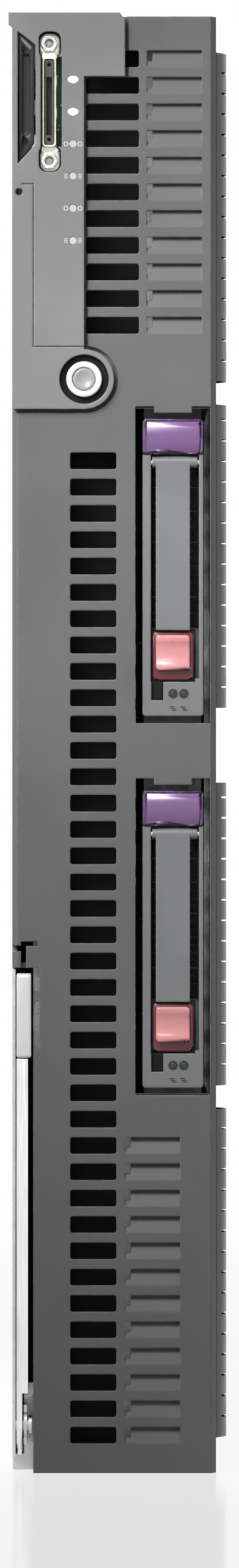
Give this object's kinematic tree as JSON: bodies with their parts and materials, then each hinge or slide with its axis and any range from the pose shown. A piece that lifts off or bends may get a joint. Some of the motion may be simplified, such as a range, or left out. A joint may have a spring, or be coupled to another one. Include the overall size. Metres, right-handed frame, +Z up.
{
  "type": "blade server",
  "caption": "Tall narrow blade server with a slotted bezel, hot-plug drives, a release lever, a lift-off side cover and a populated system board.",
  "frame": {"origin": "middle of the bottom face, which the server stands on", "axes": "+Z up; the front bezel faces -Y and the rear connectors +Y; the lift-off cover faces +X"},
  "size_m": [0.055, 0.515, 0.367],
  "materials": {
    "battery_wrap": "shrink wrap",
    "bezel_plastic": "fine texture",
    "black_plastic": "satin",
    "button_plastic": "satin",
    "cage_steel": "galvanised",
    "carrier_plastic": "satin",
    "chip_lid": "satin",
    "circuit_board": "solder mask",
    "clip_plastic": "gloss",
    "connector_core": "satin",
    "connector_metal": "plated",
    "cover_steel": "galvanised",
    "disk_aluminium": "cast",
    "eject_plastic": "gloss",
    "heatsink_aluminium": "satin",
    "latch_plastic": "satin",
    "lever_cap": "gloss",
    "lever_metal": "polished",
    "light_plastic": "clear",
    "module_board": "solder mask",
    "panel_plastic": "fine texture",
    "rear_plastic": "satin",
    "ring_plastic": "gloss",
    "screw_steel": "plated",
    "sheet_steel": "galvanised",
    "socket_plastic": "satin",
    "spring_strip": "polished",
    "tab_plastic": "satin"
  },
  "bodies": {
    "chassis": {"chassis_pan": "sheet_steel", "rear_panel": "sheet_steel", "gasket_strips": "spring_strip", "bezel": "bezel_plastic", "dust_screen": "black_plastic", "bezel_screws": "screw_steel", "control_panel": "panel_plastic", "power_ring": "ring_plastic", "power_switch": "black_plastic", "front_board": "circuit_board", "light_pipes": "light_plastic", "connector_shell": "connector_metal", "connector_insert": "connector_core", "jack_screws": "screw_steel", "lever_pin": "screw_steel", "lever_bracket": "sheet_steel", "drive_cage": "cage_steel", "drive_backplane": "circuit_board", "drive_sockets": "black_plastic", "system_board": "circuit_board", "board_standoffs": "screw_steel", "board_screws": "screw_steel", "processor_sockets": "socket_plastic", "processors": "chip_lid", "heatsink_1": "heatsink_aluminium", "heatsink_2": "heatsink_aluminium", "heatsink_3": "heatsink_aluminium", "heatsink_4": "heatsink_aluminium", "memory_sockets": "black_plastic", "memory_modules": "module_board", "expansion_card_1": "circuit_board", "expansion_card_2": "circuit_board", "expansion_sockets": "socket_plastic", "storage_card": "circuit_board", "cache_battery": "battery_wrap", "signal_connectors": "rear_plastic", "power_connector": "black_plastic", "guide_sockets": "screw_steel"},
    "power_button": {"power_button": "button_plastic"},
    "label_tab": {"label_tab": "tab_plastic"},
    "release_lever": {"lever_arm": "lever_metal", "lever_tip": "lever_cap"},
    "access_panel": {"access_panel": "cover_steel"},
    "cover_latch": {"cover_latch": "latch_plastic"},
    "drive_1": {"drive_1_carrier": "carrier_plastic", "drive_1_disk": "disk_aluminium", "drive_1_clip": "clip_plastic", "drive_1_pin": "screw_steel", "drive_1_lights": "light_plastic"},
    "drive_1_lever": {"drive_1_lever": "carrier_plastic"},
    "drive_1_button": {"drive_1_button": "eject_plastic"},
    "drive_2": {"drive_2_carrier": "carrier_plastic", "drive_2_disk": "disk_aluminium", "drive_2_clip": "clip_plastic", "drive_2_pin": "screw_steel", "drive_2_lights": "light_plastic"},
    "drive_2_lever": {"drive_2_lever": "carrier_plastic"},
    "drive_2_button": {"drive_2_button": "eject_plastic"}
  },
  "joints": [
    {"name": "power_press", "type": "slide", "parent": "chassis", "child": "power_button", "axis": [0, 1, 0], "range_m": [0, 0.0012], "stiffness_N_per_m": 400},
    {"name": "label_tab_slide", "type": "slide", "parent": "chassis", "child": "label_tab", "axis": [0, -1, 0], "range_m": [0, 0.062]},
    {"name": "release_lever_hinge", "type": "hinge", "parent": "chassis", "child": "release_lever", "pos_m": [0, -0.2505, 0.012], "axis": [1, 0, 0], "range_deg": [0, 62]},
    {"name": "access_panel_lift", "type": "slide", "parent": "chassis", "child": "access_panel", "axis": [1, 0, 0], "range_m": [0, 0.09]},
    {"name": "cover_latch_press", "type": "slide", "parent": "access_panel", "child": "cover_latch", "axis": [-1, 0, 0], "range_m": [0, 0.0012], "stiffness_N_per_m": 400},
    {"name": "drive_1_slide", "type": "slide", "parent": "chassis", "child": "drive_1", "axis": [0, -1, 0], "range_m": [0, 0.15]},
    {"name": "drive_1_lever_hinge", "type": "hinge", "parent": "drive_1", "child": "drive_1_lever", "pos_m": [0.01385, -0.2526, 0.2542], "axis": [-1, 0, 0], "range_deg": [0, 50]},
    {"name": "drive_1_button_press", "type": "slide", "parent": "drive_1", "child": "drive_1_button", "axis": [0, 1, 0], "range_m": [0, 0.0015], "stiffness_N_per_m": 400},
    {"name": "drive_2_slide", "type": "slide", "parent": "chassis", "child": "drive_2", "axis": [0, -1, 0], "range_m": [0, 0.15]},
    {"name": "drive_2_lever_hinge", "type": "hinge", "parent": "drive_2", "child": "drive_2_lever", "pos_m": [0.01385, -0.2526, 0.1607], "axis": [-1, 0, 0], "range_deg": [0, 50]},
    {"name": "drive_2_button_press", "type": "slide", "parent": "drive_2", "child": "drive_2_button", "axis": [0, 1, 0], "range_m": [0, 0.0015], "stiffness_N_per_m": 400}
  ]
}
